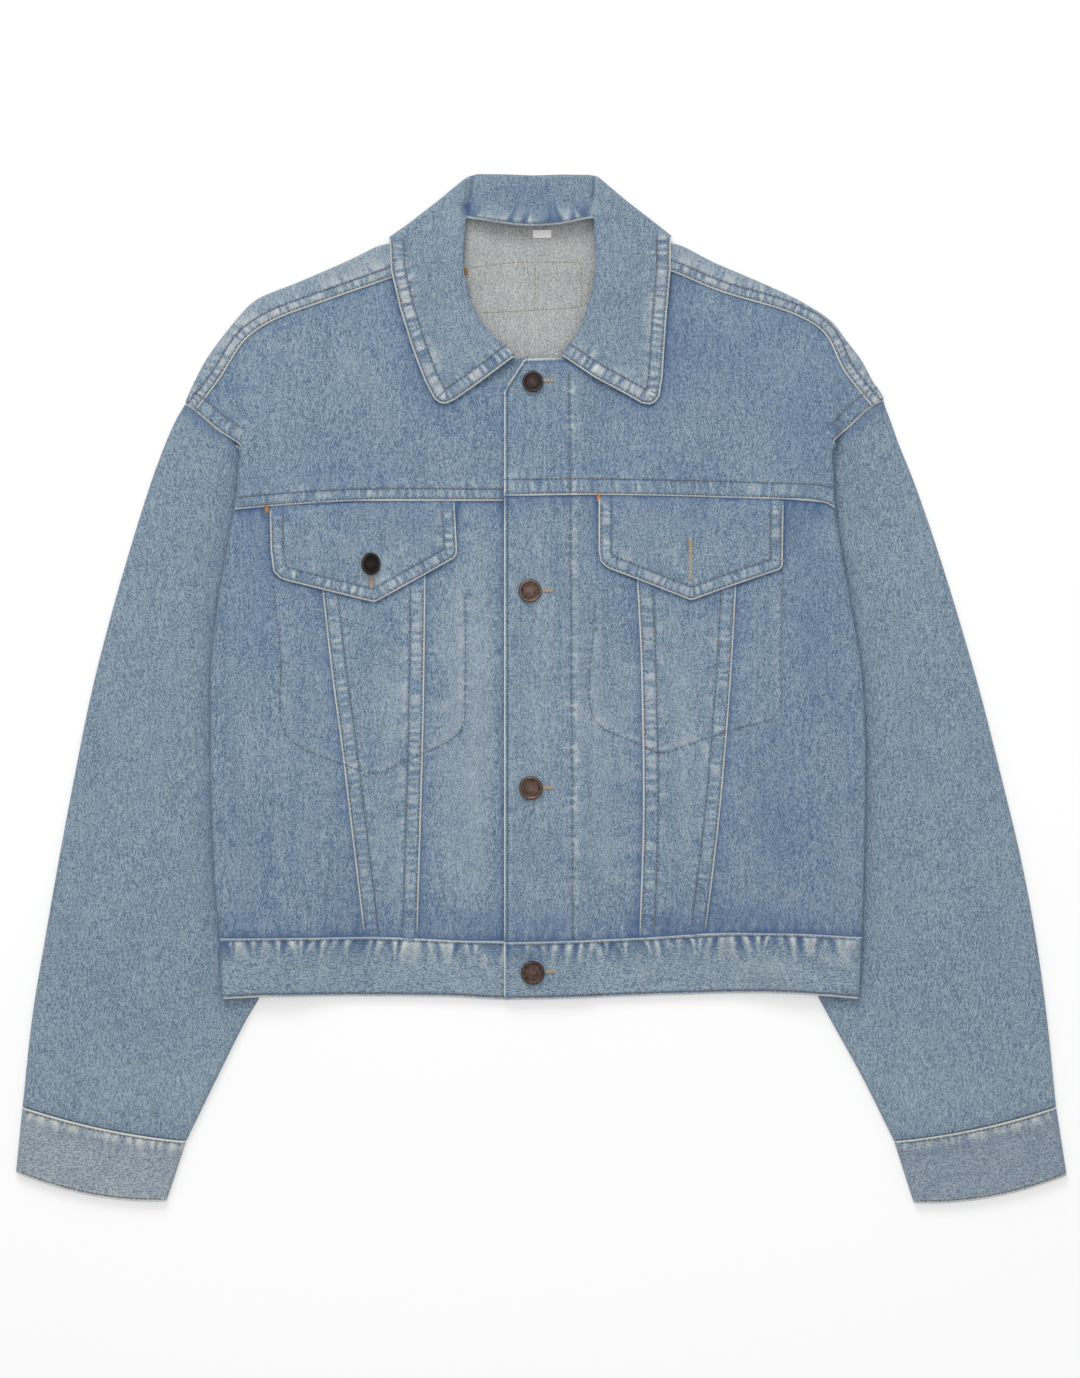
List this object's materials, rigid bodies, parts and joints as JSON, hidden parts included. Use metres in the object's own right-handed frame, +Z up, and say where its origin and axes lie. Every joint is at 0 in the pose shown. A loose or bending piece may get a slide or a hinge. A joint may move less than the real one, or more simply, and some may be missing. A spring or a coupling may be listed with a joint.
{
  "type": "denim jacket",
  "caption": "Cropped denim jacket laid flat face up, with pointed collar, chest flap pockets, button front, waistband and cuffed drop-shoulder sleeves.",
  "frame": {"origin": "centre of the overall box at the surface that the jacket lies on", "axes": "+Z up off the surface, +Y to the collar, +X to the wearer's left"},
  "size_m": [0.7369, 0.7216, 0.0141],
  "materials": {
    "denim": "washed mid-blue denim, matt twill",
    "denim_inside": "pale wrong side of denim",
    "thread": "tan and grey topstitching thread",
    "button_metal": "antique copper, worn satin",
    "label_cloth": "plain white woven tape"
  },
  "bodies": {
    "root": {"back_panel": "denim", "back_yoke": "denim", "front_yoke_right": "denim", "front_yoke_left": "denim", "front_side_right": "denim", "front_side_left": "denim", "front_vee_right": "denim", "front_vee_left": "denim", "front_inner_right": "denim", "front_inner_left": "denim", "waistband": "denim", "collar": "denim", "sleeve_right": "denim", "cuff_right": "denim", "pocket_flap_right": "denim", "sleeve_left": "denim", "cuff_left": "denim", "pocket_flap_left": "denim", "front_button_1": "button_metal", "front_button_2": "button_metal", "front_button_3": "button_metal", "front_button_4": "button_metal", "pocket_button_right": "button_metal", "neck_label": "label_cloth"}
  },
  "joints": []
}
